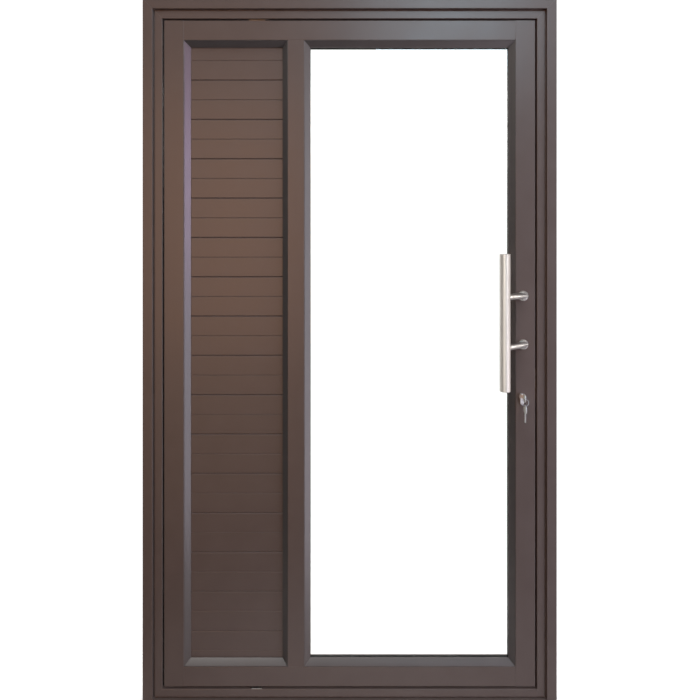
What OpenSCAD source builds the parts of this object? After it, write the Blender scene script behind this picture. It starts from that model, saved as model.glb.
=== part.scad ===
// Aluminium pivot door set: a mitred outer frame and one leaf with a slatted panel,
// a glass pane, a pull handle on inclined posts and a cylinder deadlock.
// Millimetres. +X towards the lock jamb, -Y towards the key side, +Z up.
// The origin is on the floor line, in the middle of the frame, at half the leaf's thickness.

/* [Frame] */
// Overall width of the outer frame
frame_w = 1220; // [1100:5:1500]
// Overall height of the outer frame
frame_h = 2095; // [1900:5:2250]
// Depth of the outer frame, front to back
frame_d = 76; // [74:1:90]
// How far the frame's middle lies behind the leaf's
frame_back = 7; // [4:0.5:7]
// Width of the outer face band
band_w = 29; // [24:0.5:36]
// Width of the shadow groove beside the band
groove_w = 5; // [3:0.5:7]
// Depth of the shadow groove
groove_d = 11; // [7:0.5:12]
// Width of the inner face step
step_w = 22; // [18:0.5:28]
// How far the inner step lies behind the band
step_back = 6; // [3:0.5:8]
// Wall thickness of the frame extrusion
frame_wall = 2.2; // [1.6:0.1:2.6]
// Leg length of the corner cleats
cleat_leg = 80; // [50:5:120]
// Thickness of the corner cleats
cleat_t = 6; // [4:0.5:10]

/* [Wall fixing] */
// Diameter of a wall fixing hole
fixing_d = 8.5; // [6.5:0.5:10.5]
// Diameter of the access hole for a fixing
access_d = 14; // [12:0.5:16]
// Distance of the end fixings from the frame's ends
fixing_end = 197.5; // [120:2.5:300]
// Distance of the middle fixings above and below the keeper
fixing_keeper = 285; // [150:5:350]

/* [Leaf] */
// Thickness of the leaf
leaf_t = 44; // [40:1:47]
// Running gap between the leaf and the jambs and head
leaf_gap = 4.5; // [4:0.1:6]
// Running gap between the leaf and the sill
sill_gap = 6; // [5:0.5:9]
// Face width of stiles and rails
stile_w = 58; // [54:1:70]
// Face width of the mullion
mullion_w = 49; // [40:1:60]
// Clear width of the slatted panel between its members
panel_w = 308; // [250:0.5:360]
// Wall thickness of the leaf extrusions
leaf_wall = 2.2; // [1.8:0.1:2.6]
// Edge radius of the extrusions
edge_r = 1.2; // [0.5:0.1:1.4]
// Length of a spigot inside a rail or the mullion
spigot_l = 60; // [40:5:90]
// Wall thickness of a spigot
spigot_wall = 4; // [3:0.5:6]

/* [Beads and glass] */
// Sight width of a bead
bead_w = 17; // [14:0.5:22]
// How far a bead starts below the leaf's face
bead_set = 1.5; // [1:0.1:2.5]
// Wall thickness of a bead
bead_wall = 1.6; // [1.2:0.1:2]
// Thickness of the glass
glass_t = 6; // [4:0.5:8]
// Edge clearance round the glass
glass_edge = 5; // [4:0.5:7]
// How far a gasket stays back from its bead's edge
gasket_back = 0.5; // [0.2:0.1:2]
// Length of a setting block
block_l = 80; // [60:5:120]

/* [Planks] */
// Number of planks, one on the other
plank_count = 16; // [13:1:18]
// Thickness of a plank
plank_t = 12; // [11:0.5:14]
// Height that is sawn off the lowest plank
bottom_cut = 23; // [12:0.5:40]
// Height that is sawn off the highest plank
top_cut = 7.5; // [6:0.5:40]
// Side of the V at a joint
joint_v = 2.4; // [1.5:0.1:3]
// Depth of the V along the middle of a plank
middle_v = 1.3; // [0.8:0.1:1.5]
// Thickness of the tongue
tongue_t = 4; // [3:0.2:4.6]
// Height of the tongue
tongue_h = 7; // [5:0.5:9]
// End clearance of a plank
plank_end = 4; // [3:0.5:6]

/* [Pivots] */
// Distance of the pivot axis from the leaf's edge
pivot_inset = 274.5; // [230:0.5:320]
// Diameter of the sill spindle
spindle_d = 18; // [14:0.5:20]
// Diameter of the head pin
pin_d = 14; // [10:0.5:16]
// Thickness of a pivot plate
pivot_plate_t = 2.5; // [2:0.1:3]
// Reach of spindle and pin into the leaf
pivot_reach = 24; // [18:1:30]
// Clear distance from the pivot axis to the stops
stop_clear = 28; // [26:1:40]

/* [Stops] */
// How far a stop stands out of the reveal
stop_w = 14; // [12:0.5:18]
// Thickness of a flat seal on a stop
seal_t = 1.2; // [0.8:0.1:1.6]
// Width of a pile seal
pile_w = 7; // [5:0.5:9]

/* [Lock] */
// Height of the cylinder above the floor line
lock_z = 922; // [850:1:990]
// Distance of the cylinder from the leaf's edge
backset = 40; // [33:0.5:40.5]
// Height of the deadbolt above the cylinder
bolt_rise = 34; // [32:0.5:40]
// Height of the deadbolt
bolt_h = 28; // [20:1:32]
// Thickness of the deadbolt
bolt_t = 11.4; // [10:0.1:12]
// Throw of the deadbolt
bolt_throw = 20; // [14:0.5:22]
// Depth of the lock case behind the leaf's edge
case_depth = 53.5; // [51:0.5:55]
// How far the cylinder stands out of each face
cylinder_out = 5; // [2:0.5:8]

/* [Key] */
// Radius of the key's bow
bow_r = 12.5; // [11:0.5:14]
// Thickness of the key
key_t = 2; // [1.6:0.1:2.2]
// Length of the key's blade
blade_l = 23; // [18:0.5:24]
// Mean diameter of the key ring
ring_d = 20; // [16:0.5:30]
// Wire diameter of the key ring
wire_d = 1.5; // [1.2:0.1:2.2]

/* [Pull handle] */
// Diameter of the bar
bar_d = 30; // [25:1:35]
// Length of the bar
bar_l = 390; // [300:5:600]
// Height of the bar's middle above the floor line
bar_z = 1147; // [1130:1:1300]
// Distance of the bar's axis from the leaf's face
bar_reach = 62; // [58:1:80]
// Sideways offset of the bar from its posts
bar_offset = 72.5; // [60:0.5:85]
// Wall thickness of the bar
bar_wall = 1.5; // [1.2:0.1:3]
// Diameter of a post
post_d = 18; // [16:0.5:20]
// Distance of the posts from the leaf's edge
post_inset = 36; // [28:0.5:38]
// Distance between the posts
post_spacing = 144; // [120:1:280]
// Diameter of a rose
rose_d = 30; // [28:0.5:34]
// Thickness of a rose
rose_t = 4; // [3:0.5:6]
// Diameter of the through bolts
bolt_d = 8; // [6:0.5:8]

/* [Hidden] */
$fn = 48;

bronze = [0.41, 0.34, 0.31];
bronze_light = [0.45, 0.37, 0.34];
mill_finish = [0.74, 0.75, 0.76];
stainless = [0.78, 0.77, 0.75];
steel = [0.62, 0.63, 0.65];
nickel = [0.82, 0.81, 0.78];
rubber_black = [0.08, 0.08, 0.08];
pile_grey = [0.20, 0.19, 0.19];
clear_glass = [0.80, 0.90, 0.90, 0.35];

// Clearances
fit = 0.3;
running = 0.05;
screw_fit = 0.1;

// Outer frame: the face from the outer edge to the reveal, and the depth of its faces
sight = band_w + groove_w + step_w;
half_w = frame_w / 2;
face_y = frame_d / 2;
step_y = face_y - step_back;
groove_y = face_y - groove_d;
reveal_x = half_w - sight;
reveal_z1 = frame_h - sight;
OUTER = [-half_w, half_w, 0, frame_h];

// Leaf: its edges and the two openings between its members
leaf_x = reveal_x - leaf_gap;
leaf_y = leaf_t / 2;
leaf_z0 = sight + sill_gap;
leaf_z1 = frame_h - sight - leaf_gap;
leg_root = leaf_wall / 2;
open_x0 = stile_w - leaf_x;
open_x1 = leaf_x - stile_w;
open_z0 = leaf_z0 + stile_w;
open_z1 = leaf_z1 - stile_w;
mullion_x0 = open_x0 + panel_w;
mullion_x1 = mullion_x0 + mullion_w;
PANEL = [open_x0, mullion_x0, open_z0, open_z1];
PANE = [mullion_x1, open_x1, open_z0, open_z1];
SIDES = ["left", "right", "bottom", "top"];

// Rebate: planks and glass lie between the bead's nose and the fixed leg
rebate_y = plank_t / 2;
bead_y = leaf_y - bead_set;
nose_t = 2.2;
nib_w = 2.5;
bead_joint = 0.1;
nib_y0 = rebate_y + 1.5;
nib_y1 = rebate_y + 3;
glass_y = glass_t / 2;
gasket_bite = 7.2;
gasket_b1 = bead_w - gasket_back;
slope = (bead_y - rebate_y - nose_t) / (bead_w - bead_wall);
slope_step = bead_wall * sqrt(1 + slope * slope);

// Planks
plank_top_gap = 3;
plank_z1 = open_z1 - plank_top_gap;
plank_wall = 1.6;
plank_web = 2.5;
plank_pitch = (plank_z1 - open_z0 + bottom_cut + top_cut) / plank_count;

// Pivots
pivot_x = pivot_inset - leaf_x;
SILL_TURN = 0;
HEAD_TURN = 90;
plate_w = 30;
plate_edge = 1;
plate_l = 2 * (step_y - frame_back - plate_edge);
screw_d = 5;
screw_head_d = 9;
screw_l = 16;
screw_edge = 2;
plate_screw_y = plate_l / 2 - screw_head_d / 2 - screw_edge;
collar_d = 2 * (plate_screw_y - screw_head_d / 2 - 1);
collar_t = 1.5;
pivot_block_l = 80;
backing_t = step_w - 2 * frame_wall - fit;
shoe_h = pivot_reach + 10;
pad_t = 2.7;

// Stops and seals on the lock part of the frame
stop_y0 = leaf_y + fit + seal_t;
stop_y1 = frame_back + step_y - 2;
stop_wall = 1.4;
stop_x0 = pivot_x + stop_clear;
stop_x1 = reveal_x - stop_w;
seal_edge = 0.5;
seal_w = stop_w - leaf_gap - 2 * seal_edge;
sill_seal_w = stop_w - sill_gap - 2 * seal_edge;
pile_clear = 1.5;
pile_t = leaf_gap - pile_clear;
sill_pile_t = sill_gap - pile_clear;
pile_y0 = access_d / 2 + 3;

// Lock
lock_x = leaf_x - backset;
plug_r = 6.5;
euro_r = 8.5;
euro_bib_w = 10;
euro_h = 33;
cylinder_y = leaf_y + cylinder_out;
cam_gap = 5;
cam_y = cam_gap - fit;
cam_r = 7.6;
cam_tip_r = 14;
cam_clear = 0.5;
cam_lobe_w = 8;
cam_bore_r = 4;
plug_lip = 0.5;
forend_w = 22;
forend_t = 2.2;
case_t = bolt_t + 2 * fit + 3;
case_wall = 1.5;
case_drop = 42;
case_head = 10;
case_z0 = lock_z - case_drop;
case_z1 = lock_z + bolt_rise + bolt_h / 2 + case_head;
lug_h = 20;
bolt_z = lock_z + bolt_rise;
bolt_x1 = leaf_x + forend_t - 0.5;
bolt_l = 46;
bolt_edge = 1;
lock_screw_d = 4;
cylinder_screw_d = 5;
cylinder_screw_z = lock_z - 20;
fixing_z = [fixing_end, bolt_z - fixing_keeper, bolt_z + fixing_keeper, frame_h - fixing_end];
keeper_t = 1.4;
keeper_end = 31;
keeper_screw_end = 9;
keeper_l = bolt_h + 2 * keeper_end;
keeper_screw_z = keeper_l / 2 - keeper_screw_end;
mouth_play = 1.5;

// Key, ring and spare key
shoulder = bow_r + 3.5;
neck_w = 9;
blade_w = 8.4;
key_hole_r = 2.5;
key_hole_p = bow_r - 5;
bit_count = 5;
bit_pitch = 3.6;
bit_first = 4;
keyway_t = key_t + 0.3;
keyway_w = blade_w + 0.4;
bow_y = -(cylinder_y + plug_lip + 1 + shoulder);
ring_y = bow_y - key_hole_p;
ring_rest = key_hole_r - wire_d / 2 - 0.1;
ring_z = lock_z - ring_rest - ring_d / 2;
spare_z = ring_z - ring_d / 2 - ring_rest - key_hole_p;

// Pull handle on the key side; its bolts end in caps on the far face
post_x = leaf_x - post_inset;
bar_x = post_x - bar_offset;
bar_y = -(leaf_y + bar_reach);
post_y0 = -(leaf_y + rose_t);
post_run = [bar_x - post_x, bar_y - post_y0];
post_z = [bar_z - post_spacing / 2, bar_z + post_spacing / 2];
cap_t = 2;
cap_spigot = 8;
cap_edge = 1;
bolt_bite = 5;
bolt_cap_d = 22;
bolt_cap_t = 6;
bolt_cap_depth = 4.5;

// Unit vector along v
function unit(v) = v / norm(v);

// Arc of radius r that rounds the corner p between its neighbours a and b
function corner_arc(p, a, b, r, steps) =
    let (
        u = unit(a - p),
        v = unit(b - p),
        half = acos(u * v) / 2,
        centre = p + unit(u + v) * r / sin(half),
        from = p + u * r / tan(half) - centre,
        to = p + v * r / tan(half) - centre,
        a0 = atan2(from[1], from[0]),
        turn = atan2(to[1], to[0]) - a0,
        sweep = turn > 180 ? turn - 360 : turn < -180 ? turn + 360 : turn
    )
    [for (k = [0:steps]) centre + r * [cos(a0 + sweep * k / steps), sin(a0 + sweep * k / steps)]];

// Outline with each corner rounded by its own radius; 0 keeps the corner sharp
function rounded(points, radii, steps = 3) =
    let (n = len(points))
    [for (i = [0:n - 1])
        each radii[i] == 0
            ? [points[i]]
            : corner_arc(points[i], points[(i + n - 1) % n], points[(i + 1) % n], radii[i], steps)];

// Section drawn in (x, y), carried along Z
module run_z(z0, z1) {
    translate([0, 0, z0])
        linear_extrude(z1 - z0)
            children();
}

// Section drawn in (y, z), carried along X
module run_x(x0, x1) {
    translate([x0, 0, 0])
        rotate([90, 0, 90])
            linear_extrude(x1 - x0)
                children();
}

// Section drawn in (x, z), carried along Y
module run_y(y0, y1) {
    translate([0, y1, 0])
        rotate([90, 0, 0])
            linear_extrude(y1 - y0)
                children();
}

// Section drawn in (distance inwards, depth), carried up a side and mitred at both ends;
// each mitre stays back from the corner's diagonal by the joint, and a root below the side is cut square
module mitred_run(length, width, joint, root) {
    mitres = [
        [0, joint],
        [width, width + joint],
        [width, length - width - joint],
        [0, length - joint]
    ];
    foot = [[-root, length - joint], [-root, joint]];
    intersection() {
        linear_extrude(length)
            children();
        run_y(-frame_d, frame_d)
            polygon(root > 0 ? concat(mitres, foot) : mitres);
    }
}

// Mitred run along one side of a rectangle [x0, x1, z0, z1], facing inwards
module on_side(side, rect, width, joint = 0, root = 0) {
    if (side == "left")
        translate([rect[0], 0, rect[2]])
            mitred_run(rect[3] - rect[2], width, joint, root)
                children();
    if (side == "right")
        translate([rect[1], 0, rect[2]])
            mirror([1, 0, 0])
                mitred_run(rect[3] - rect[2], width, joint, root)
                    children();
    if (side == "bottom")
        translate([rect[0], 0, rect[2]])
            mirror([1, 0, -1])
                mitred_run(rect[1] - rect[0], width, joint, root)
                    children();
    if (side == "top")
        translate([rect[0], 0, rect[3]])
            mirror([0, 0, 1])
                mirror([1, 0, -1])
                    mitred_run(rect[1] - rect[0], width, joint, root)
                        children();
}

// Box between two corners
module box(low, high) {
    translate(low)
        cube(high - low);
}

// Countersunk screw along Z, its head's face at zero and its shank below
module countersunk(shank_d, head_d, head_h, length) {
    translate([0, 0, -head_h])
        cylinder(d1 = shank_d, d2 = head_d, h = head_h);
    translate([0, 0, -length])
        cylinder(d = shank_d, h = length - head_h);
}

// Outer frame

// Hollow frame section: outer band, shadow groove, inner step, the same front and back
module frame_section() {
    half = [
        [0, -face_y],
        [band_w, -face_y],
        [band_w, -groove_y],
        [band_w + groove_w, -groove_y],
        [band_w + groove_w, -step_y],
        [sight, -step_y]
    ];
    half_r = [edge_r, edge_r, 0, 0, edge_r, edge_r];
    last = len(half) - 1;
    back = [for (i = [last:-1:0]) [half[i][0], -half[i][1]]];
    back_r = [for (i = [last:-1:0]) half_r[i]];
    groove_in = groove_y - frame_wall;
    step_in = step_y - frame_wall;
    translate([0, frame_back])
        difference() {
            polygon(rounded(concat(half, back), concat(half_r, back_r)));
            translate([frame_wall, frame_wall - face_y])
                square([band_w - 2 * frame_wall, frame_d - 2 * frame_wall]);
            translate([band_w, -groove_in])
                square([groove_w + frame_wall, 2 * groove_in]);
            translate([band_w + groove_w + frame_wall, -step_in])
                square([step_w - 2 * frame_wall, 2 * step_in]);
        }
}

// Wall fixing holes of one jamb: a bolt hole in the outer wall, an access hole behind it
module fixing_holes(side) {
    for (z = fixing_z)
        translate([side * half_w, 0, z])
            rotate([0, -side * 90, 0]) {
                translate([0, 0, -1])
                    cylinder(d = fixing_d, h = band_w / 2);
                translate([0, 0, band_w / 2])
                    cylinder(d = access_d, h = sight);
            }
}

// Places children at the two screws of a pivot plate; the sill's lies across, the head's along
module at_pivot_screws(turn) {
    for (s = [-1, 1])
        translate([pivot_x, 0, 0])
            rotate([0, 0, turn])
                translate([0, s * plate_screw_y, 0])
                    children();
}

module head() {
    color(bronze)
        difference() {
            on_side("top", OUTER, sight)
                frame_section();
            at_pivot_screws(HEAD_TURN)
                translate([0, 0, reveal_z1 - 1])
                    cylinder(d = screw_d + 2 * screw_fit, h = frame_wall + 2);
        }
}

module sill() {
    color(bronze)
        difference() {
            on_side("bottom", OUTER, sight)
                frame_section();
            at_pivot_screws(SILL_TURN)
                translate([0, 0, sight - frame_wall - 1])
                    cylinder(d = screw_d + 2 * screw_fit, h = frame_wall + 2);
        }
}

module pivot_jamb() {
    color(bronze)
        difference() {
            on_side("left", OUTER, sight)
                frame_section();
            fixing_holes(-1);
        }
}

// Places children at the two screws of the keeper, pointing out of the reveal
module at_keeper_screws() {
    for (s = [-1, 1])
        translate([reveal_x - keeper_t, 0, bolt_z + s * keeper_screw_z])
            rotate([0, -90, 0])
                children();
}

module lock_jamb() {
    mouth_y = bolt_t / 2 + mouth_play;
    mouth_z = bolt_h / 2 + mouth_play;
    color(bronze)
        difference() {
            on_side("right", OUTER, sight)
                frame_section();
            fixing_holes(1);
            box(
                [reveal_x - 1, -mouth_y, bolt_z - mouth_z],
                [reveal_x + frame_wall + 1, mouth_y, bolt_z + mouth_z]
            );
            at_keeper_screws()
                translate([0, 0, -frame_wall - keeper_t - 1])
                    cylinder(d = lock_screw_d + 2 * screw_fit, h = frame_wall + keeper_t + 2);
        }
}

// Angle cleats that lie against the outer walls inside each mitred corner
module frame_cleats() {
    cleat_y = face_y - frame_wall - fit;
    color(mill_finish)
        for (mx = [0, 1], mz = [0, 1])
            translate([0, 0, frame_h / 2])
                mirror([mx, 0, 0])
                    mirror([0, 0, mz])
                        translate([frame_wall - half_w, 0, frame_wall - frame_h / 2])
                            run_y(frame_back - cleat_y, frame_back + cleat_y)
                                union() {
                                    square([cleat_leg, cleat_t]);
                                    square([cleat_t, cleat_leg]);
                                }
}

// Hollow stop section in (distance inwards from the reveal, depth)
module stop_section() {
    stop_t = stop_y1 - stop_y0;
    translate([0, stop_y0])
        difference() {
            square([stop_w, stop_t]);
            translate([stop_wall, stop_wall])
                square([stop_w - 2 * stop_wall, stop_t - 2 * stop_wall]);
        }
}

module lock_jamb_stop() {
    color(bronze)
        run_z(sight, reveal_z1)
            translate([reveal_x, 0])
                mirror([1, 0])
                    stop_section();
}

module head_stop() {
    color(bronze)
        run_x(stop_x0, stop_x1)
            translate([0, reveal_z1])
                mirror([0, 1])
                    mirror([1, -1])
                        stop_section();
}

module sill_stop() {
    color(bronze)
        run_x(stop_x0, stop_x1)
            translate([0, sight])
                mirror([1, -1])
                    stop_section();
}

// Flat strips on the stops' faces, and pile strips in the gap round the pivot part
module weather_seals() {
    seal_y0 = stop_y0 - seal_t;
    pile_x1 = pivot_x - max(stop_clear, plate_l / 2 + plate_edge);
    pile_y1 = pile_y0 + pile_w;
    seal_x0 = stop_x1 + seal_edge;
    head_z0 = reveal_z1 - stop_w + seal_edge;
    sill_z1 = sight + stop_w - seal_edge;
    color(pile_grey) {
        box([seal_x0, seal_y0, sight], [seal_x0 + seal_w, stop_y0, reveal_z1]);
        box([stop_x0, seal_y0, head_z0], [stop_x1, stop_y0, head_z0 + seal_w]);
        box([stop_x0, seal_y0, sill_z1 - sill_seal_w], [stop_x1, stop_y0, sill_z1]);
        box([-reveal_x, pile_y0, sight + sill_pile_t + fit], [pile_t - reveal_x, pile_y1, reveal_z1 - pile_t - fit]);
        box([-reveal_x, pile_y0, sight], [pile_x1, pile_y1, sight + sill_pile_t]);
        box([-reveal_x, pile_y0, reveal_z1 - pile_t], [pile_x1, pile_y1, reveal_z1]);
    }
}

// Snap-in caps that close the access holes in the reveals
module fixing_caps() {
    rim = 2;
    rim_t = 1.2;
    plug_l = 6;
    color(bronze_light)
        for (side = [-1, 1], z = fixing_z)
            translate([side * reveal_x, 0, z])
                rotate([0, -side * 90, 0]) {
                    cylinder(d = access_d + 2 * rim, h = rim_t);
                    translate([0, 0, -plug_l])
                        cylinder(d = access_d - 2 * screw_fit, h = plug_l);
                }
}

// Plate with a collar and a pin that reaches across a gap, lying at zero and pointing up
module pivot_plate(d, gap) {
    difference() {
        union() {
            box([-plate_w / 2, -plate_l / 2, 0], [plate_w / 2, plate_l / 2, pivot_plate_t]);
            cylinder(d = collar_d, h = pivot_plate_t + collar_t);
            cylinder(d = d, h = gap + pivot_reach);
        }
        for (s = [-1, 1])
            translate([0, s * plate_screw_y, 0])
                cylinder(d1 = screw_d + 2 * screw_fit, d2 = screw_head_d + 2 * screw_fit, h = pivot_plate_t);
    }
}

module sill_pivot() {
    color(stainless)
        translate([pivot_x, 0, sight])
            rotate([0, 0, SILL_TURN])
                pivot_plate(spindle_d, sill_gap);
}

module head_pivot() {
    color(stainless)
        translate([pivot_x, 0, reveal_z1])
            mirror([0, 0, 1])
                rotate([0, 0, HEAD_TURN])
                    pivot_plate(pin_d, leaf_gap);
}

// Blocks inside the sill and the head that the pivot plates are screwed into
module pivot_backing_blocks() {
    block_y = step_y - frame_wall - fit;
    low_z = sight - frame_wall - backing_t;
    color(mill_finish)
        for (flip = [0, 1])
            translate([0, 0, flip * frame_h])
                mirror([0, 0, flip])
                    difference() {
                        box(
                            [pivot_x - pivot_block_l / 2, frame_back - block_y, low_z],
                            [pivot_x + pivot_block_l / 2, frame_back + block_y, low_z + backing_t]
                        );
                        at_pivot_screws(flip == 0 ? SILL_TURN : HEAD_TURN)
                            translate([0, 0, low_z - 1])
                                cylinder(d = screw_d + 2 * screw_fit, h = backing_t + 2);
                    }
}

module frame_screws() {
    color(steel) {
        for (flip = [0, 1])
            translate([0, 0, flip * frame_h])
                mirror([0, 0, flip])
                    at_pivot_screws(flip == 0 ? SILL_TURN : HEAD_TURN)
                        translate([0, 0, sight + pivot_plate_t])
                            countersunk(screw_d, screw_head_d, pivot_plate_t, screw_l);
        at_keeper_screws()
            countersunk(lock_screw_d, 2 * lock_screw_d, keeper_t, screw_l);
    }
}

module keeper_plate() {
    color(stainless)
        difference() {
            box(
                [reveal_x - keeper_t, -forend_w / 2, bolt_z - keeper_l / 2],
                [reveal_x, forend_w / 2, bolt_z + keeper_l / 2]
            );
            box(
                [reveal_x - keeper_t - 1, -bolt_t / 2 - mouth_play / 2, bolt_z - bolt_h / 2 - mouth_play / 2],
                [reveal_x + 1, bolt_t / 2 + mouth_play / 2, bolt_z + bolt_h / 2 + mouth_play / 2]
            );
            at_keeper_screws()
                translate([0, 0, -keeper_t])
                    cylinder(
                        d1 = lock_screw_d + 2 * screw_fit,
                        d2 = 2 * (lock_screw_d + screw_fit),
                        h = keeper_t
                    );
        }
}

// Leaf

// Hollow box section of a leaf member in (distance across, depth)
module tube_section(width) {
    difference() {
        polygon(rounded(
            [[0, -leaf_y], [width, -leaf_y], [width, leaf_y], [0, leaf_y]],
            [edge_r, edge_r, edge_r, edge_r]
        ));
        translate([leaf_wall, leaf_wall - leaf_y])
            square([width - 2 * leaf_wall, leaf_t - 2 * leaf_wall]);
    }
}

// Fixed glazing leg behind the rebate, bevelled like a bead, and the nib that a bead seats on;
// both are rooted in the wall of their member
module leg_section() {
    inner_w = bead_w - (bead_wall - nose_t + slope_step) / slope;
    difference() {
        polygon([
            [-leg_root, rebate_y],
            [bead_w, rebate_y],
            [bead_w, rebate_y + nose_t],
            [bead_wall, bead_y],
            [-leg_root, bead_y]
        ]);
        polygon([
            [0, rebate_y + bead_wall],
            [inner_w, rebate_y + bead_wall],
            [0, rebate_y + bead_wall + inner_w * slope]
        ]);
    }
    translate([-leg_root, -nib_y1])
        square([nib_w + leg_root, nib_y1 - nib_y0]);
}

module legs(side, rect) {
    on_side(side, rect, bead_w, root = leg_root)
        leg_section();
}

module pivot_stile() {
    color(bronze)
        union() {
            run_z(leaf_z0, leaf_z1)
                translate([-leaf_x, 0])
                    tube_section(stile_w);
            legs("left", PANEL);
        }
}

// Outline of a euro cylinder in (x, z) about its axis, grown by a clearance
module euro_outline(clear) {
    bib_r = euro_bib_w / 2;
    low = euro_h - euro_r - bib_r;
    circle(r = euro_r + clear);
    translate([0, -low])
        circle(r = bib_r + clear);
    translate([-bib_r - clear, -low])
        square([euro_bib_w + 2 * clear, low]);
}

module at_lock() {
    translate([lock_x, 0, lock_z])
        children();
}

// Places children at the forend's two screws, heads on the forend's face, pointing inwards
module at_forend_screws() {
    for (z = [case_z0 - lug_h / 2, case_z1 + lug_h / 2])
        translate([leaf_x + forend_t, 0, z])
            rotate([0, 90, 0])
                children();
}

module lock_stile() {
    slot_y = case_t / 2 + fit;
    color(bronze)
        difference() {
            union() {
                run_z(leaf_z0, leaf_z1)
                    translate([open_x1, 0])
                        tube_section(stile_w);
                legs("right", PANE);
            }
            at_lock()
                run_y(-leaf_t, leaf_t)
                    euro_outline(fit);
            box(
                [leaf_x - leaf_wall - 1, -slot_y, case_z0 - fit],
                [leaf_x + 1, slot_y, case_z1 + fit]
            );
            at_forend_screws()
                translate([0, 0, -forend_t - leaf_wall - 1])
                    cylinder(d = lock_screw_d + 2 * screw_fit, h = leaf_wall + 2);
            for (z = post_z)
                translate([post_x, 0, z])
                    rotate([90, 0, 0])
                        cylinder(d = bolt_d + 1, h = 2 * leaf_t, center = true);
        }
}

// Tube of a rail, lying between the stiles with its lower edge at z
module rail_tube(z) {
    run_x(open_x0, open_x1)
        translate([0, z])
            mirror([1, -1])
                tube_section(stile_w);
}

module top_rail() {
    color(bronze)
        difference() {
            union() {
                rail_tube(open_z1);
                legs("top", PANEL);
                legs("top", PANE);
            }
            translate([pivot_x, 0, leaf_z1 - leaf_wall - 1])
                cylinder(d = pin_d + 4, h = leaf_wall + 2);
        }
}

module bottom_rail() {
    color(bronze)
        difference() {
            union() {
                rail_tube(leaf_z0);
                legs("bottom", PANEL);
                legs("bottom", PANE);
            }
            translate([pivot_x, 0, leaf_z0 - 1])
                cylinder(d = spindle_d + 4, h = leaf_wall + 2);
        }
}

module mullion() {
    color(bronze)
        union() {
            run_z(open_z0, open_z1)
                translate([mullion_x0, 0])
                    tube_section(mullion_w);
            legs("right", PANEL);
            legs("left", PANE);
        }
}

// Rectangular tube section of a spigot that slides inside a member of the given width
module spigot_section(width) {
    inset = leaf_wall + fit;
    translate([inset, inset - leaf_y])
        difference() {
            square([width - 2 * inset, leaf_t - 2 * inset]);
            translate([spigot_wall, spigot_wall])
                square([width - 2 * (inset + spigot_wall), leaf_t - 2 * (inset + spigot_wall)]);
        }
}

// Spigots that stand on the stiles inside the rails, and on the rails inside the mullion
module leaf_spigots() {
    color(mill_finish) {
        for (z = [leaf_z0, open_z1], x = [open_x0, open_x1 - spigot_l])
            run_x(x, x + spigot_l)
                translate([0, z])
                    mirror([1, -1])
                        spigot_section(stile_w);
        for (z = [open_z0, open_z1 - spigot_l])
            run_z(z, z + spigot_l)
                translate([mullion_x0, 0])
                    spigot_section(mullion_w);
    }
}

module glass_pane() {
    color(clear_glass)
        box(
            [mullion_x1 + glass_edge, -glass_y, open_z0 + glass_edge],
            [open_x1 - glass_edge, glass_y, open_z1 - glass_edge]
        );
}

// Snap-in bead: a bevelled wall, a foot on the nib and a nose on the infill
module bead_section() {
    bevel_y = -(rebate_y + nose_t);
    flange_y = -(rebate_y + bead_wall);
    flange_b = bead_w - (slope_step - nose_t + bead_wall) / slope;
    polygon([
        [0, -bead_y],
        [bead_wall, -bead_y],
        [bead_w, bevel_y],
        [bead_w, -rebate_y],
        [bead_w - 5, -rebate_y],
        [bead_w - 5, flange_y],
        [flange_b, flange_y],
        [bead_wall, slope_step - bead_y],
        [bead_wall, -nib_y1],
        [0, -nib_y1]
    ]);
}

module glass_beads() {
    color(bronze_light)
        for (side = SIDES)
            on_side(side, PANE, bead_w, bead_joint)
                bead_section();
}

module panel_beads() {
    color(bronze_light)
        for (side = SIDES)
            on_side(side, PANEL, bead_w, bead_joint)
                bead_section();
}

// Rectangle [x0, x1, z0, z1] drawn smaller by an inset on each side
module inset_square(rect, inset) {
    translate([rect[0] + inset, rect[2] + inset])
        square([rect[1] - rect[0] - 2 * inset, rect[3] - rect[2] - 2 * inset]);
}

// Gasket rings in front of and behind the glass, joined at the corners and hidden by the beads
module glass_gaskets() {
    gasket_t = rebate_y - glass_y;
    color(rubber_black)
        for (y = [-rebate_y, glass_y])
            run_y(y, y + gasket_t)
                difference() {
                    inset_square(PANE, gasket_b1 - gasket_bite);
                    inset_square(PANE, gasket_b1);
                }
}

// Blocks that the glass stands on, at its quarter points
module setting_blocks() {
    pane_w = open_x1 - mullion_x1;
    color(rubber_black)
        for (q = [0.25, 0.75])
            box(
                [mullion_x1 + q * pane_w - block_l / 2, -glass_y - 1, open_z0],
                [mullion_x1 + q * pane_w + block_l / 2, glass_y + 1, open_z0 + glass_edge]
            );
}

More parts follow.
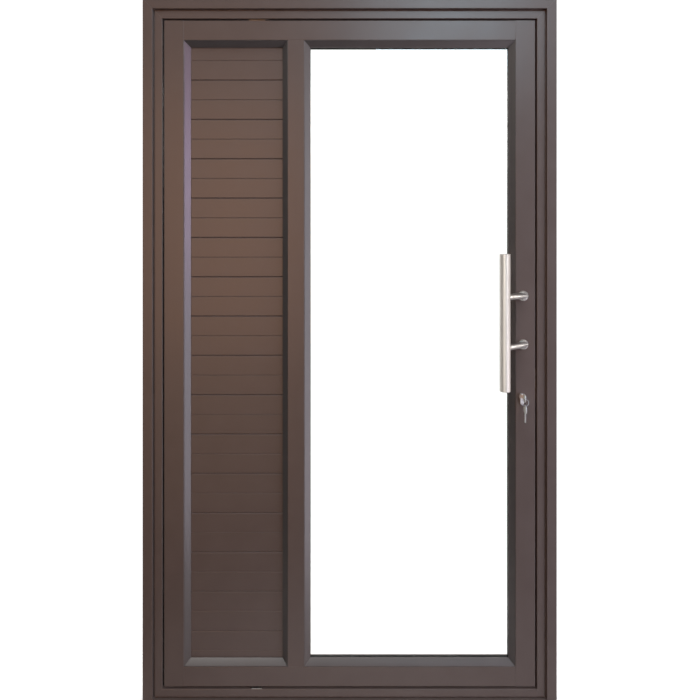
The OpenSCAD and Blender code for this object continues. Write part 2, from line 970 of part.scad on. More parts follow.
// Hollow tongue-and-groove plank in (depth, height), its lower joint at zero
module plank_section() {
    y = plank_t / 2;
    tongue = tongue_t / 2;
    mouth = tongue + fit;
    mouth_h = tongue_h + fit;
    middle = plank_pitch / 2;
    inner_y = y - plank_wall;
    low_z = mouth_h + plank_wall;
    chamber_1 = middle - plank_web - low_z;
    chamber_2 = middle - plank_web - joint_v - plank_wall;
    difference() {
        polygon([
            [joint_v - y, 0],
            [-mouth, 0],
            [-mouth, mouth_h],
            [mouth, mouth_h],
            [mouth, 0],
            [y - joint_v, 0],
            [y, joint_v],
            [y, plank_pitch - joint_v],
            [y - joint_v, plank_pitch],
            [tongue, plank_pitch],
            [tongue, plank_pitch + tongue_h],
            [-tongue, plank_pitch + tongue_h],
            [-tongue, plank_pitch],
            [joint_v - y, plank_pitch],
            [-y, plank_pitch - joint_v],
            [-y, middle + middle_v],
            [middle_v - y, middle],
            [-y, middle - middle_v],
            [-y, joint_v]
        ]);
        translate([-inner_y, low_z])
            square([2 * inner_y, chamber_1]);
        translate([-inner_y, middle + plank_web])
            square([2 * inner_y, chamber_2]);
    }
}

// One plank, counted from the bottom; the first and the last are sawn to the opening
module plank(i) {
    x0 = open_x0 + plank_end;
    x1 = mullion_x0 - plank_end;
    color(bronze)
        intersection() {
            run_x(x0, x1)
                translate([0, open_z0 - bottom_cut + (i - 1) * plank_pitch])
                    plank_section();
            box([x0 - 1, -plank_t, open_z0], [x1 + 1, plank_t, plank_z1]);
        }
}

// Block in the bottom rail that turns on the spindle, with a pad over the spindle's end
module pivot_shoe() {
    shoe_y = leaf_y - leaf_wall - fit;
    floor_z = leaf_z0 + leaf_wall;
    bore_z1 = leaf_z0 + pivot_reach + fit + pad_t;
    bore_d = spindle_d + 2 * running;
    color(steel) {
        difference() {
            box(
                [pivot_x - pivot_block_l / 2, -shoe_y, floor_z],
                [pivot_x + pivot_block_l / 2, shoe_y, floor_z + shoe_h]
            );
            translate([pivot_x, 0, floor_z - 1])
                cylinder(d = bore_d, h = bore_z1 + running - floor_z + 1);
        }
        translate([pivot_x, 0, bore_z1 - pad_t])
            cylinder(d = spindle_d - 1, h = pad_t);
    }
}

// Block in the top rail that the head pin reaches into
module pivot_socket() {
    socket_y = leaf_y - leaf_wall - fit;
    roof_z = leaf_z1 - leaf_wall;
    color(steel)
        difference() {
            box(
                [pivot_x - pivot_block_l / 2, -socket_y, roof_z - shoe_h],
                [pivot_x + pivot_block_l / 2, socket_y, roof_z]
            );
            translate([pivot_x, 0, roof_z - shoe_h - 1])
                cylinder(d = pin_d + 2 * running, h = shoe_h + 2);
        }
}

// Lock

// Folded case that is open towards the forend, pierced for the cylinder, its back slotted for the cam
module lock_case() {
    back_x = leaf_x - case_depth;
    case_y = case_t / 2;
    slot_z = cam_tip_r + cam_clear;
    color(steel)
        difference() {
            box([back_x, -case_y, case_z0], [leaf_x, case_y, case_z1]);
            box(
                [back_x + case_wall, case_wall - case_y, case_z0 + case_wall],
                [leaf_x + 1, case_y - case_wall, case_z1 - case_wall]
            );
            at_lock()
                run_y(-case_t, case_t)
                    euro_outline(fit);
            box(
                [back_x - 1, case_wall - case_y, lock_z - slot_z],
                [back_x + case_wall + 1, case_y - case_wall, lock_z + slot_z]
            );
        }
}

module forend() {
    slot_y = bolt_t / 2 + fit;
    slot_z = bolt_h / 2 + fit;
    color(stainless)
        difference() {
            box(
                [leaf_x, -forend_w / 2, case_z0 - lug_h],
                [leaf_x + forend_t, forend_w / 2, case_z1 + lug_h]
            );
            box(
                [leaf_x - 1, -slot_y, bolt_z - slot_z],
                [leaf_x + forend_t + 1, slot_y, bolt_z + slot_z]
            );
            at_forend_screws()
                translate([0, 0, -forend_t])
                    cylinder(
                        d1 = lock_screw_d + 2 * screw_fit,
                        d2 = 2 * (lock_screw_d + screw_fit),
                        h = forend_t
                    );
            translate([leaf_x, 0, cylinder_screw_z])
                rotate([0, 90, 0])
                    cylinder(
                        d1 = cylinder_screw_d + 2 * screw_fit,
                        d2 = 2 * (cylinder_screw_d - 0.5 + screw_fit),
                        h = forend_t
                    );
        }
}

// Flat slot of a keyway along the cylinder's axis
module keyway(y0, y1) {
    box([-keyway_t / 2, y0, -keyway_w / 2], [keyway_t / 2, y1, keyway_w / 2]);
}

// Round plug on the cylinder's axis
module plug(y0, y1, r) {
    translate([0, y1, 0])
        rotate([90, 0, 0])
            cylinder(r = r, h = y1 - y0);
}

// Double cylinder: the body with its cam gap, and the plug on the far side
module lock_cylinder() {
    gap_low = -(cam_tip_r + cam_clear);
    color(nickel)
        at_lock() {
            difference() {
                run_y(-cylinder_y, cylinder_y)
                    euro_outline(0);
                plug(-cylinder_y - 1, cylinder_y + 1, plug_r + running);
                box([-euro_r - 1, -cam_gap, gap_low], [euro_r + 1, cam_gap, euro_r + 1]);
                translate([0, 0, cylinder_screw_z - lock_z])
                    rotate([0, 90, 0])
                        cylinder(d = cylinder_screw_d + 2 * screw_fit, h = 2 * euro_bib_w, center = true);
            }
            difference() {
                plug(cam_gap, cylinder_y + plug_lip, plug_r);
                keyway(cam_gap + 1, cylinder_y + plug_lip + 1);
            }
        }
}

// Through bolts of the pull handle, screws of the forend and the cylinder's long screw
module leaf_fasteners() {
    bolt_y1 = leaf_y + bolt_cap_depth - fit;
    color(steel) {
        for (z = post_z)
            translate([post_x, bolt_y1, z])
                rotate([90, 0, 0])
                    cylinder(d = bolt_d, h = bolt_y1 - post_y0 + bolt_bite);
        at_forend_screws()
            countersunk(lock_screw_d, 2 * lock_screw_d, forend_t, screw_l);
        translate([leaf_x + forend_t, 0, cylinder_screw_z])
            rotate([0, 90, 0])
                countersunk(
                    cylinder_screw_d,
                    2 * cylinder_screw_d - 1,
                    forend_t,
                    backset + forend_t + euro_bib_w / 2 - 1
                );
    }
}

// Sliding bolt with a bevelled nose, drawn back behind the forend's face
module deadbolt() {
    y = bolt_t / 2;
    color(nickel)
        translate([0, 0, bolt_z - bolt_h / 2])
            linear_extrude(bolt_h)
                polygon([
                    [bolt_x1 - bolt_l, -y],
                    [bolt_x1 - bolt_edge, -y],
                    [bolt_x1, bolt_edge - y],
                    [bolt_x1, y - bolt_edge],
                    [bolt_x1 - bolt_edge, y],
                    [bolt_x1 - bolt_l, y]
                ]);
}

// Key-side plug with its keyway, and a tail that carries the cam
module key_plug() {
    color(nickel)
        at_lock()
            difference() {
                union() {
                    plug(-cylinder_y - plug_lip, -cam_gap, plug_r);
                    plug(-cam_gap, cam_y, cam_bore_r);
                }
                keyway(-cylinder_y - plug_lip - 1, -cam_gap - 0.5);
            }
}

// Ring with one lobe, hanging down at rest
module lock_cam() {
    color(steel)
        at_lock()
            run_y(-cam_y, cam_y)
                difference() {
                    union() {
                        circle(r = cam_r);
                        intersection() {
                            circle(r = cam_tip_r);
                            translate([-cam_lobe_w / 2, -cam_tip_r])
                                square([cam_lobe_w, cam_tip_r]);
                        }
                    }
                    circle(r = cam_bore_r);
                }
}

// Flat key in (along the blade, across), its bow's centre at zero
module key_outline() {
    bit_half = 1.6;
    bit_least = 1.2;
    bit_step = 0.5;
    difference() {
        union() {
            circle(r = bow_r);
            translate([0, -neck_w / 2])
                square([shoulder, neck_w]);
            translate([shoulder, -blade_w / 2])
                square([blade_l - blade_w / 4, blade_w]);
            polygon([
                [shoulder + blade_l - blade_w / 4, -blade_w / 2],
                [shoulder + blade_l, 0],
                [shoulder + blade_l - blade_w / 4, blade_w / 2]
            ]);
        }
        translate([-key_hole_p, 0])
            circle(r = key_hole_r);
        for (k = [0:bit_count - 1])
            translate([shoulder + bit_first + k * bit_pitch, blade_w / 2])
                polygon([[-bit_half, 0.1], [bit_half, 0.1], [0, -bit_least - bit_step * (k % 3)]]);
    }
}

module door_key() {
    color(nickel)
        translate([lock_x, bow_y, lock_z])
            rotate([90, 0, 90])
                linear_extrude(key_t, center = true)
                    key_outline();
}

module key_ring() {
    color(steel)
        translate([lock_x, ring_y, ring_z])
            rotate([90, 0, 0])
                rotate_extrude()
                    translate([ring_d / 2, 0])
                        circle(d = wire_d);
}

module spare_key() {
    color(nickel)
        translate([lock_x, ring_y, spare_z])
            rotate([90, 0, 90])
                linear_extrude(key_t, center = true)
                    rotate(-90)
                        key_outline();
}

// Pull handle

// Closed end of the bar in (radius, height): a flat cap with an eased edge and a spigot
module end_cap() {
    spigot_r = bar_d / 2 - bar_wall - screw_fit;
    rotate_extrude()
        polygon([
            [0, -cap_spigot],
            [spigot_r, -cap_spigot],
            [spigot_r, 0],
            [bar_d / 2, 0],
            [bar_d / 2, cap_t - cap_edge],
            [bar_d / 2 - cap_edge, cap_t],
            [0, cap_t]
        ]);
}

// Tube of the bar with a cap welded into each end
module pull_bar() {
    tube_l = bar_l - 2 * cap_t;
    color(stainless)
        translate([bar_x, bar_y, bar_z]) {
            difference() {
                cylinder(d = bar_d, h = tube_l, center = true);
                cylinder(d = bar_d - 2 * bar_wall, h = bar_l, center = true);
            }
            for (flip = [0, 1])
                mirror([0, 0, flip])
                    translate([0, 0, tube_l / 2])
                        end_cap();
        }
}

// Low domed rose with a bolt hole, its back on the leaf's face
module rose() {
    rim = rose_t / 2;
    rotate_extrude()
        polygon([
            [bolt_d / 2 + screw_fit, 0],
            [rose_d / 2, 0],
            [rose_d / 2, rim],
            [rose_d / 2 - rim, rose_t],
            [bolt_d / 2 + screw_fit, rose_t]
        ]);
}

// Inclined posts, cut flat on their roses and saddled to the bar
module pull_posts() {
    color(stainless)
        for (z = post_z) {
            translate([post_x, -leaf_y, z])
                rotate([90, 0, 0])
                    rose();
            difference() {
                translate([post_x, post_y0, z])
                    rotate([0, 0, atan2(post_run[1], post_run[0])])
                        rotate([0, 90, 0])
                            translate([0, 0, -post_d])
                                cylinder(d = post_d, h = norm(post_run) + post_d);
                box([post_x - bar_offset, post_y0, z - post_d], [post_x + 2 * post_d, 0, z + post_d]);
                translate([bar_x, bar_y, z - post_d])
                    cylinder(d = bar_d + 2 * running, h = 2 * post_d);
                translate([post_x, post_y0 + 1, z])
                    rotate([90, 0, 0])
                        cylinder(d = bolt_d + 2 * screw_fit, h = bolt_bite + 1.5);
            }
        }
}

// Low domed caps screwed on the bolts' far ends
module pull_bolt_caps() {
    dome_r = (bolt_cap_d * bolt_cap_d / 4 + bolt_cap_t * bolt_cap_t) / (2 * bolt_cap_t);
    color(stainless)
        for (z = post_z)
            translate([post_x, leaf_y, z])
                rotate([-90, 0, 0])
                    difference() {
                        intersection() {
                            translate([0, 0, bolt_cap_t - dome_r])
                                sphere(r = dome_r);
                            cylinder(d = bolt_cap_d, h = bolt_cap_t);
                        }
                        translate([0, 0, -1])
                            cylinder(d = bolt_d + 2 * screw_fit, h = bolt_cap_depth + 1);
                    }
}

head();
sill();
pivot_jamb();
lock_jamb();
frame_cleats();
lock_jamb_stop();
head_stop();
sill_stop();
weather_seals();
fixing_caps();
sill_pivot();
head_pivot();
pivot_backing_blocks();
frame_screws();
keeper_plate();
pivot_stile();
lock_stile();
top_rail();
bottom_rail();
mullion();
leaf_spigots();
glass_pane();
glass_beads();
panel_beads();
glass_gaskets();
setting_blocks();
pivot_shoe();
pivot_socket();
lock_case();
forend();
lock_cylinder();
leaf_fasteners();
pull_bar();
pull_posts();
pull_bolt_caps();
deadbolt();
key_plug();
lock_cam();
door_key();
key_ring();
spare_key();
for (i = [1:plank_count]) plank(i);
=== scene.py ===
import math

import bpy
import numpy as np
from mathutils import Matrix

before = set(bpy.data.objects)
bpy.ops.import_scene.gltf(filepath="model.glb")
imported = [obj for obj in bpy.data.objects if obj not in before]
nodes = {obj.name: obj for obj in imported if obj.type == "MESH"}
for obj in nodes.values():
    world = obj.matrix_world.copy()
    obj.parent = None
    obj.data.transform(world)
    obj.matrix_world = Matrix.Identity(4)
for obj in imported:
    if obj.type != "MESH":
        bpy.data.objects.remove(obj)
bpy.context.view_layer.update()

# Outer frame: one hollow aluminium extrusion all round, cut to 45 degrees at the corners
# and powder coated in bronze. The stops behind the leaf are drawn from the same alloy.
# The coat is a satin polyester film: brown, faintly mottled, with a soft sheen.


def linear(hex_colour):
    """sRGB hex to linear RGBA: a channel up to 0.04045 is divided by 12.92; above that, 0.055 is
    added, the sum is divided by 1.055, and the quotient is raised to the power of 2.4."""
    c = np.array([int(hex_colour[i:i + 2], 16) for i in (1, 3, 5)]) / 255
    c = np.where(c <= 0.04045, c / 12.92, ((c + 0.055) / 1.055) ** 2.4)
    return (*(float(v) for v in c), 1.0)


def add(tree, kind, links=None, **settings):
    """Adds one node: settings go to its properties, links to its sockets as values or wires."""
    node = tree.nodes.new(kind)
    for name, value in settings.items():
        setattr(node, name, value)
    for socket, value in (links or {}).items():
        if isinstance(value, bpy.types.NodeSocket):
            tree.links.new(value, node.inputs[socket])
        else:
            node.inputs[socket].default_value = value
    return node


def noise(tree, place, size, detail):
    """A noise with blotches of about one size: its scale is one over that size."""
    return add(tree, "ShaderNodeTexNoise", {
        "Vector": place, "Scale": 1 / size, "Detail": detail}).outputs["Fac"]


def mix_colours(tree, factor, first, second):
    """Two colours blended by a factor. The mix node's colours are its inputs 6 and 7 and output 2."""
    return add(tree, "ShaderNodeMix", {"Factor": factor, 6: first, 7: second}, data_type="RGBA").outputs[2]


def new_material(name):
    """An empty node material, its tree and its principled shader."""
    material = bpy.data.materials.new(name)
    material.use_nodes = True
    tree = material.node_tree
    return material, tree, tree.nodes["Principled BSDF"]


def dress(material, *names):
    """Puts a material on CAD nodes."""
    for name in names:
        piece = nodes[name]
        piece.data.materials.clear()
        piece.data.materials.append(material)


def ease_edges(*names):
    """Rounds edges sharper than 40 degrees by 0.3 mm, as the coat does, and keeps the faces flat."""
    radius = 0.0003
    for name in names:
        weld = nodes[name].modifiers.new("weld", "WELD")
        weld.merge_threshold = 1e-5
        bevel = nodes[name].modifiers.new("eased_edges", "BEVEL")
        bevel.width = radius
        bevel.segments = 2
        bevel.limit_method = "ANGLE"
        bevel.angle_limit = math.radians(40)
        flat = nodes[name].modifiers.new("flat_faces", "WEIGHTED_NORMAL")
        flat.mode = "FACE_AREA"
        flat.weight = 100


def powder_coat(name, roughness, pale_edge_width):
    """Satin powder coat: two close browns in 60 mm clouds, a 2 mm orange peel, and edges painted pale
    over the given width in 25 mm patches, the more the further the dot product of the true normal
    and the rounded one falls from 0.99 to 0.85. The pale edges are partly rubbed wear and partly a
    painted highlight, standing in for the light the edges catch."""
    material, tree, shader = new_material(name)
    place = add(tree, "ShaderNodeTexCoord").outputs["Object"]
    clouds = noise(tree, place, size=0.060, detail=4.0)
    tone = mix_colours(tree, clouds, linear("#5A4D48"), linear("#61544F"))
    rounded = add(tree, "ShaderNodeBevel", {"Radius": pale_edge_width}, samples=6).outputs["Normal"]
    facing = add(tree, "ShaderNodeNewGeometry").outputs["Normal"]
    flat = add(tree, "ShaderNodeVectorMath", {0: rounded, 1: facing}, operation="DOT_PRODUCT")
    edge = add(tree, "ShaderNodeMapRange", {
        "Value": flat.outputs["Value"],
        "From Min": 0.99, "From Max": 0.85, "To Min": 0.0, "To Max": 1.0})
    patches = noise(tree, place, size=0.025, detail=3.0)
    pale_patches = add(tree, "ShaderNodeMapRange", {
        "Value": patches, "From Min": 0.42, "From Max": 0.68, "To Min": 0.15, "To Max": 0.8})
    highlight_and_wear = add(tree, "ShaderNodeMath", {
        0: edge.outputs["Result"], 1: pale_patches.outputs["Result"]}, operation="MULTIPLY")
    # Painted highlight and wear: the edges are painted pale, partly for the light they catch and partly
    # for rubbed coat.
    highlit_and_worn = mix_colours(tree, highlight_and_wear.outputs["Value"], tone, linear("#9A8F8A"))
    peel = noise(tree, place, size=0.002, detail=2.0)
    bump = add(tree, "ShaderNodeBump", {"Height": peel, "Strength": 0.04, "Distance": 0.0002})
    sheen = add(tree, "ShaderNodeMapRange", {
        "Value": clouds, "From Min": 0.3, "From Max": 0.7,
        "To Min": roughness - 0.02, "To Max": roughness + 0.02})
    tree.links.new(highlit_and_worn, shader.inputs["Base Color"])
    tree.links.new(bump.outputs["Normal"], shader.inputs["Normal"])
    tree.links.new(sheen.outputs["Result"], shader.inputs["Roughness"])
    shader.inputs["IOR"].default_value = 1.5
    return material


frame_members = ["head", "sill", "pivot_jamb", "lock_jamb", "head_stop", "sill_stop", "lock_jamb_stop"]
frame_coat = powder_coat("bronze powder coat, frame", roughness=0.34, pale_edge_width=0.0012)
dress(frame_coat, *frame_members)
ease_edges(*frame_members)

# Corner cleats, spigots and the blocks behind the pivot plates: sawn aluminium inside the members.
# The bare metal is dull and pale, with no coat, and clouded by handling.


def mottled(name, dark, light, grain, roughness, relief, metallic=0.0):
    """A plain finish: two close tones and a roughness of +-15 % on one noise of size grain, and a
    relief on another, twelve times as fine."""
    material, tree, shader = new_material(name)
    place = add(tree, "ShaderNodeTexCoord").outputs["Object"]
    clouds = noise(tree, place, size=grain, detail=4.0)
    tone = mix_colours(tree, clouds, linear(dark), linear(light))
    spread = add(tree, "ShaderNodeMapRange", {
        "Value": clouds, "From Min": 0.3, "From Max": 0.7,
        "To Min": 0.85 * roughness, "To Max": 1.15 * roughness})
    fine = noise(tree, place, size=grain / 12, detail=2.0)
    bump = add(tree, "ShaderNodeBump", {"Height": fine, "Strength": relief, "Distance": grain / 20})
    tree.links.new(tone, shader.inputs["Base Color"])
    tree.links.new(spread.outputs["Result"], shader.inputs["Roughness"])
    tree.links.new(bump.outputs["Normal"], shader.inputs["Normal"])
    shader.inputs["Metallic"].default_value = metallic
    return material


mill = mottled("mill aluminium, sawn", "#AEB0B2", "#C2C4C6",
               grain=0.008, roughness=0.45, relief=0.15, metallic=1.0)
dress(mill, "frame_cleats", "pivot_backing_blocks", "leaf_spigots")

# Caps over the wall fixings: moulded plastic, snapped into the access holes in the reveals.
# They are toned to the coat but duller.
cap_plastic = mottled("bronze polyamide, moulded", "#594841", "#63524B",
                      grain=0.006, roughness=0.55, relief=0.10)
dress(cap_plastic, "fixing_caps")

# Weather seals: woven pile and flat strips in the gap round the leaf.
# Dark polypropylene that takes almost no light.
pile = mottled("polypropylene pile, dark grey", "#1C1A19", "#2E2A29",
               grain=0.004, roughness=0.85, relief=0.60)
dress(pile, "weather_seals")

# Pivots, keeper and forend: pressed stainless plate with a fine brushed finish.
# The grain runs upright on all of them and spreads the highlight.


def brushed(name, colour, roughness, grain_axis):
    """Brushed stainless: 120 mm scratches along one axis, drawn 1.2 mm apart. Real ones are far
    finer and would not show."""
    material, tree, shader = new_material(name)
    place = add(tree, "ShaderNodeTexCoord").outputs["Object"]
    scale = [1 / 0.0012] * 3
    scale[grain_axis] = 1 / 0.120
    stretched = add(tree, "ShaderNodeMapping", {"Vector": place, "Scale": scale}).outputs["Vector"]
    scratches = noise(tree, stretched, size=1.0, detail=3.0)
    spread = add(tree, "ShaderNodeMapRange", {
        "Value": scratches, "From Min": 0.3, "From Max": 0.7,
        "To Min": roughness - 0.06, "To Max": roughness + 0.08})
    bump = add(tree, "ShaderNodeBump", {"Height": scratches, "Strength": 0.06, "Distance": 0.0002})
    tree.links.new(spread.outputs["Result"], shader.inputs["Roughness"])
    tree.links.new(bump.outputs["Normal"], shader.inputs["Normal"])
    shader.inputs["Base Color"].default_value = linear(colour)
    shader.inputs["Metallic"].default_value = 1.0
    return material


along_x = 0
along_z = 2
plate_steel = brushed("stainless steel, brushed plate", "#C8C4BE", roughness=0.30, grain_axis=along_z)
dress(plate_steel, "sill_pivot", "head_pivot", "keeper_plate", "forend")

# Screws, bolts, pivot shoe and socket, lock case, cam and key ring: zinc-plated steel.
# A cool grey metal with a soft, slightly uneven shine.
zinc = mottled("steel, zinc plated", "#A2A4A6", "#B2B4B6",
               grain=0.005, roughness=0.38, relief=0.08, metallic=1.0)
dress(zinc, "frame_screws", "leaf_fasteners", "pivot_shoe", "pivot_socket", "lock_case", "lock_cam",
      "key_ring")

# Leaf: hollow stiles, rails and mullion in the frame's coat. The rails are butted between the
# stiles over spigots, and the mullion between the rails, so their joints show as square lines.
leaf_members = ["pivot_stile", "lock_stile", "top_rail", "bottom_rail", "mullion"]
leaf_coat = powder_coat("bronze powder coat, leaf", roughness=0.34, pale_edge_width=0.0012)
dress(leaf_coat, *leaf_members)
ease_edges(*leaf_members)

# Beads: snap-in bevelled strips that hold the planks and the glass, mitred at the corners.
# Thinner than the members; the coat is a little smoother round the planks than round the glass.
beads = ["panel_beads", "glass_beads"]
glass_bead_coat = powder_coat("bronze powder coat, glass beads", roughness=0.42, pale_edge_width=0.0007)
dress(glass_bead_coat, "glass_beads")
panel_bead_coat = powder_coat("bronze powder coat, panel beads", roughness=0.35, pale_edge_width=0.0007)
dress(panel_bead_coat, "panel_beads")
ease_edges(*beads)

# Planks: hollow tongue-and-groove aluminium boards, laid across the panel one on the other.
# Each one is a length of the same coated section; its edges are painted pale over only a very narrow
# width, part highlight and part wear.
planks = [name for name in nodes if name.startswith("plank_")]
plank_coat = powder_coat("bronze powder coat, planks", roughness=0.35, pale_edge_width=0.0002)
dress(plank_coat, *planks)
ease_edges(*planks)

# Glass pane: 6 mm clear float glass, standing on two rubber blocks.
# Nearly colourless, with a hint of green from its iron, and faint 80 mm smears from wiping.
glass, tree, shader = new_material("float glass, clear")
place = add(tree, "ShaderNodeTexCoord").outputs["Object"]
smears = noise(tree, place, size=0.080, detail=3.0)
tint = mix_colours(tree, smears, linear("#F8FCFA"), linear("#FDFFFE"))
wiped = add(tree, "ShaderNodeMapRange", {
    "Value": smears, "From Min": 0.4, "From Max": 0.7, "To Min": 0.0, "To Max": 0.02})
ripple = add(tree, "ShaderNodeBump", {"Height": smears, "Strength": 0.01, "Distance": 0.0002})
tree.links.new(tint, shader.inputs["Base Color"])
tree.links.new(wiped.outputs["Result"], shader.inputs["Roughness"])
tree.links.new(ripple.outputs["Normal"], shader.inputs["Normal"])
shader.inputs["Transmission Weight"].default_value = 1.0
shader.inputs["IOR"].default_value = 1.52
dress(glass, "glass_pane")

# Gaskets and setting blocks: extruded black rubber. The gaskets are rings before and behind the
# glass, joined at the corners and almost hidden by the beads; the blocks carry its lower edge.
rubber = mottled("EPDM rubber, black", "#151413", "#201E1D",
                 grain=0.010, roughness=0.70, relief=0.10)
dress(rubber, "glass_gaskets", "setting_blocks")

# Lock: a double euro cylinder with its plug, the bolt, the key and the spare key.
# Nickel-plated brass with a satin polish.
nickel = mottled("nickel plate on brass, satin", "#DAD8D5", "#E8E7E4",
                 grain=0.003, roughness=0.46, relief=0.06, metallic=1.0)
dress(nickel, "lock_cylinder", "deadbolt", "key_plug", "door_key", "spare_key")

# Pull handle: a stainless tube, brushed along its length, on two inclined round posts.
# The posts are ground smooth and stand on low roses; domed caps close the bolts at the back.
handle = ["pull_bar", "pull_posts", "pull_bolt_caps"]
bar_steel = brushed("stainless steel, brushed tube", "#D8D1CB", roughness=0.50, grain_axis=along_z)
dress(bar_steel, "pull_bar")
post_steel = brushed("stainless steel, ground posts", "#C4BFBA", roughness=0.28, grain_axis=along_x)
dress(post_steel, "pull_posts", "pull_bolt_caps")

# Stage: a pale matt floor under the door, a round disc that fades from 0.25 m outwards and is
# clear past 1 m. It is a studio floor and no part of the door.
fade_from = 0.25
fade_to = 1.0
floor_radius = 3.4
spokes = 96
turn = np.linspace(0, 2 * np.pi, spokes, endpoint=False)
rim = np.stack([floor_radius * np.cos(turn), floor_radius * np.sin(turn), 0 * turn], axis=1)
floor_mesh = bpy.data.meshes.new("pale_floor")
floor_mesh.from_pydata(rim.tolist(), [], [list(range(spokes))])
pale_floor = bpy.data.objects.new("pale_floor", floor_mesh)
bpy.context.collection.objects.link(pale_floor)
floor_paint, tree, shader = new_material("floor paint, pale matt")
shader.inputs["Base Color"].default_value = linear("#DEDCD9")
shader.inputs["Roughness"].default_value = 0.9
place = add(tree, "ShaderNodeTexCoord").outputs["Object"]
reach = add(tree, "ShaderNodeVectorMath", {0: place}, operation="LENGTH")
fade = add(tree, "ShaderNodeMapRange", {
    "Value": reach.outputs["Value"], "From Min": fade_from, "From Max": fade_to},
    interpolation_type="SMOOTHSTEP")
clear = add(tree, "ShaderNodeBsdfTransparent")
blend = add(tree, "ShaderNodeMixShader", {
    0: fade.outputs["Result"], 1: shader.outputs["BSDF"], 2: clear.outputs["BSDF"]})
tree.links.new(blend.outputs["Shader"], tree.nodes["Material Output"].inputs["Surface"])
floor_mesh.materials.append(floor_paint)

# Light: soft panels that are not seen themselves. The key hangs in front at the upper right, a cool
# panel stands right, a warm one left, one hangs overhead, and two light the far side and its floor.
# Four cards give only reflections, carrying panels on downwards or serving the beads; three more light the
# handle alone.


def panel_light(name, place, target, size, watts, colour, only=(), off=(), diffuse=True, glossy=True):
    """An area light at place, facing target. It is tipped about X by the angle whose tangent is the
    level reach over the drop, then turned about Z to its heading. With only, it lights just those
    pieces, and with off all the others, as behind a studio flag."""
    data = bpy.data.lights.new(name, "AREA")
    data.shape = "RECTANGLE"
    data.size, data.size_y = size
    data.energy = watts
    data.color = colour
    lamp = bpy.data.objects.new(name, data)
    bpy.context.collection.objects.link(lamp)
    lamp.location = place
    aim = np.array(target, float) - np.array(place, float)
    lamp.rotation_euler = (
        math.atan2(math.hypot(aim[0], aim[1]), -aim[2]), 0, math.atan2(-aim[0], aim[1]))
    lamp.visible_camera = False
    lamp.visible_transmission = False
    lamp.visible_diffuse = diffuse
    lamp.visible_glossy = glossy
    if only or off:
        flagged = bpy.data.collections.new(name + "_flag")
        for piece in only or off:
            flagged.objects.link(nodes[piece])
        for member in flagged.collection_objects:
            member.light_linking.link_state = "INCLUDE" if only else "EXCLUDE"
        lamp.light_linking.receiver_collection = flagged


panel_light("key_panel", place=(0.85, -3.0, 3.45), target=(0, 0, 1.5), size=(1.3, 1.0),
            watts=34, colour=(0.62, 0.85, 1.0))
panel_light("side_panel", place=(2.45, -1.25, 1.3), target=(0, 0, 1.2), size=(1.5, 2.5),
            watts=59, colour=(0.80, 0.84, 1.0), off=handle)
panel_light("warm_panel", place=(-1.05, -3.0, 1.65), target=(-0.3, 0, 1.2), size=(1.5, 2.3),
            watts=29, colour=(1.0, 0.54, 0.30), off=handle + beads)
panel_light("top_panel", place=(0.1, -1.3, 4.0), target=(0, 0, 1.0), size=(1.6, 1.6),
            watts=48, colour=(0.86, 0.94, 1.0), glossy=False)
panel_light("low_card", place=(2.45, -1.25, -0.75), target=(0, 0, 0.3), size=(1.5, 1.6),
            watts=36, colour=(0.86, 0.84, 1.0), diffuse=False)
panel_light("warm_card", place=(-1.05, -3.0, -0.15), target=(-0.3, 0, 0.6), size=(1.5, 1.3),
            watts=4.5, colour=(1.0, 0.62, 0.32), off=handle + beads, diffuse=False)
panel_light("lilac_card", place=(2.45, -1.3, 2.15), target=(-0.5, 0, 1.6), size=(1.0, 1.9),
            watts=36, colour=(0.90, 0.48, 1.0), only=["panel_beads"], diffuse=False)
panel_light("high_card", place=(-2.0, -4.3, 5.3), target=(-0.4, 0, 0.1), size=(2.0, 1.6),
            watts=210, colour=(1.0, 0.95, 0.90), only=beads, diffuse=False)
panel_light("front_card", place=(-1.0, -3.0, 1.15), target=(0.45, 0, 1.15), size=(2.0, 2.2),
            watts=48, colour=(1.0, 0.96, 0.90), only=handle)
panel_light("post_card", place=(2.6, -0.4, 1.2), target=(0.5, -0.05, 1.15), size=(0.6, 0.4),
            watts=12, colour=(0.97, 0.98, 1.0), only=["pull_posts"])
panel_light("strip_card", place=(1.6, -1.6, 1.2), target=(0.45, 0, 1.15), size=(0.4, 1.6),
            watts=14, colour=(0.96, 0.96, 1.0), only=handle)
panel_light("rear_panel", place=(0.3, 3.2, 2.3), target=(0, 0, 1.0), size=(2.2, 2.2),
            watts=70, colour=(1.0, 1.0, 1.0))
panel_light("back_panel", place=(0, 1.1, 1.95), target=(0, 1.1, 0), size=(1.7, 1.7),
            watts=80, colour=(1.0, 1.0, 1.0))

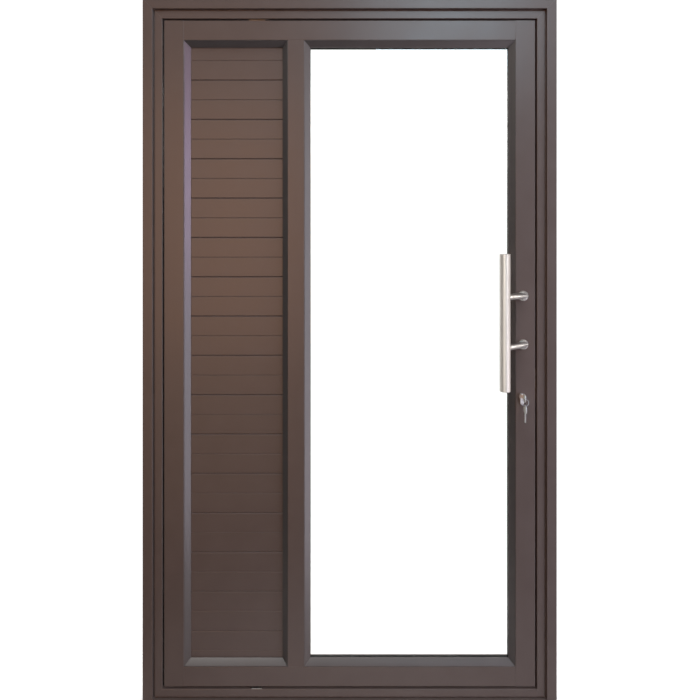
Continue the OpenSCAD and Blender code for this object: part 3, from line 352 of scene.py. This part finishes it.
# The room: white to the eye and through the glass, and dim as a light. Polished pieces see
# its pale side walls and back wall, the right one brighter than the left.
room = bpy.data.worlds.new("pale_room")
room.use_nodes = True
bpy.context.scene.world = room
tree = room.node_tree
tree.nodes.clear()
heading = add(tree, "ShaderNodeTexCoord").outputs["Generated"]
axis = add(tree, "ShaderNodeSeparateXYZ", {"Vector": heading}).outputs
walls = add(tree, "ShaderNodeMapRange", {
    "Value": axis["Y"], "From Min": -0.75, "From Max": 0.0}, interpolation_type="SMOOTHSTEP")
right = add(tree, "ShaderNodeMapRange", {
    "Value": axis["X"], "From Min": -1.0, "From Max": 1.0, "To Min": 0.45, "To Max": 1.0})
glow = add(tree, "ShaderNodeMath", {
    0: walls.outputs["Result"], 1: right.outputs["Result"]}, operation="MULTIPLY")
dim = add(tree, "ShaderNodeBackground", {"Color": linear("#FFFFFF"), "Strength": 0.03})
pale = add(tree, "ShaderNodeBackground", {
    "Color": linear("#FBF4EE"), "Strength": glow.outputs["Value"]})
white = add(tree, "ShaderNodeBackground", {"Color": linear("#FFFFFF"), "Strength": 1.2})
path = add(tree, "ShaderNodeLightPath").outputs
polished = add(tree, "ShaderNodeMixShader", {
    0: path["Is Glossy Ray"], 1: dim.outputs["Background"], 2: pale.outputs["Background"]})
seen = add(tree, "ShaderNodeMath", {
    0: path["Is Camera Ray"], 1: path["Is Transmission Ray"]}, operation="MAXIMUM")
mixed = add(tree, "ShaderNodeMixShader", {
    0: seen.outputs["Value"], 1: polished.outputs["Shader"], 2: white.outputs["Background"]})
add(tree, "ShaderNodeOutputWorld", {"Surface": mixed.outputs["Shader"]})

# Camera: a phone's wide lens below head height, level, a step and a half from the door.
# The picture is shifted down instead of tilted, so the uprights stay upright.
camera_data = bpy.data.cameras.new("camera")
camera_data.sensor_width = 36
camera_data.lens = 26.05
camera_data.shift_y = -0.13
camera = bpy.data.objects.new("camera", camera_data)
bpy.context.collection.objects.link(camera)
camera.location = (0.001, -1.522, 1.328)
camera.rotation_euler = (math.pi / 2, 0, 0)
bpy.context.scene.camera = camera
bpy.context.scene.view_settings.view_transform = "Standard"
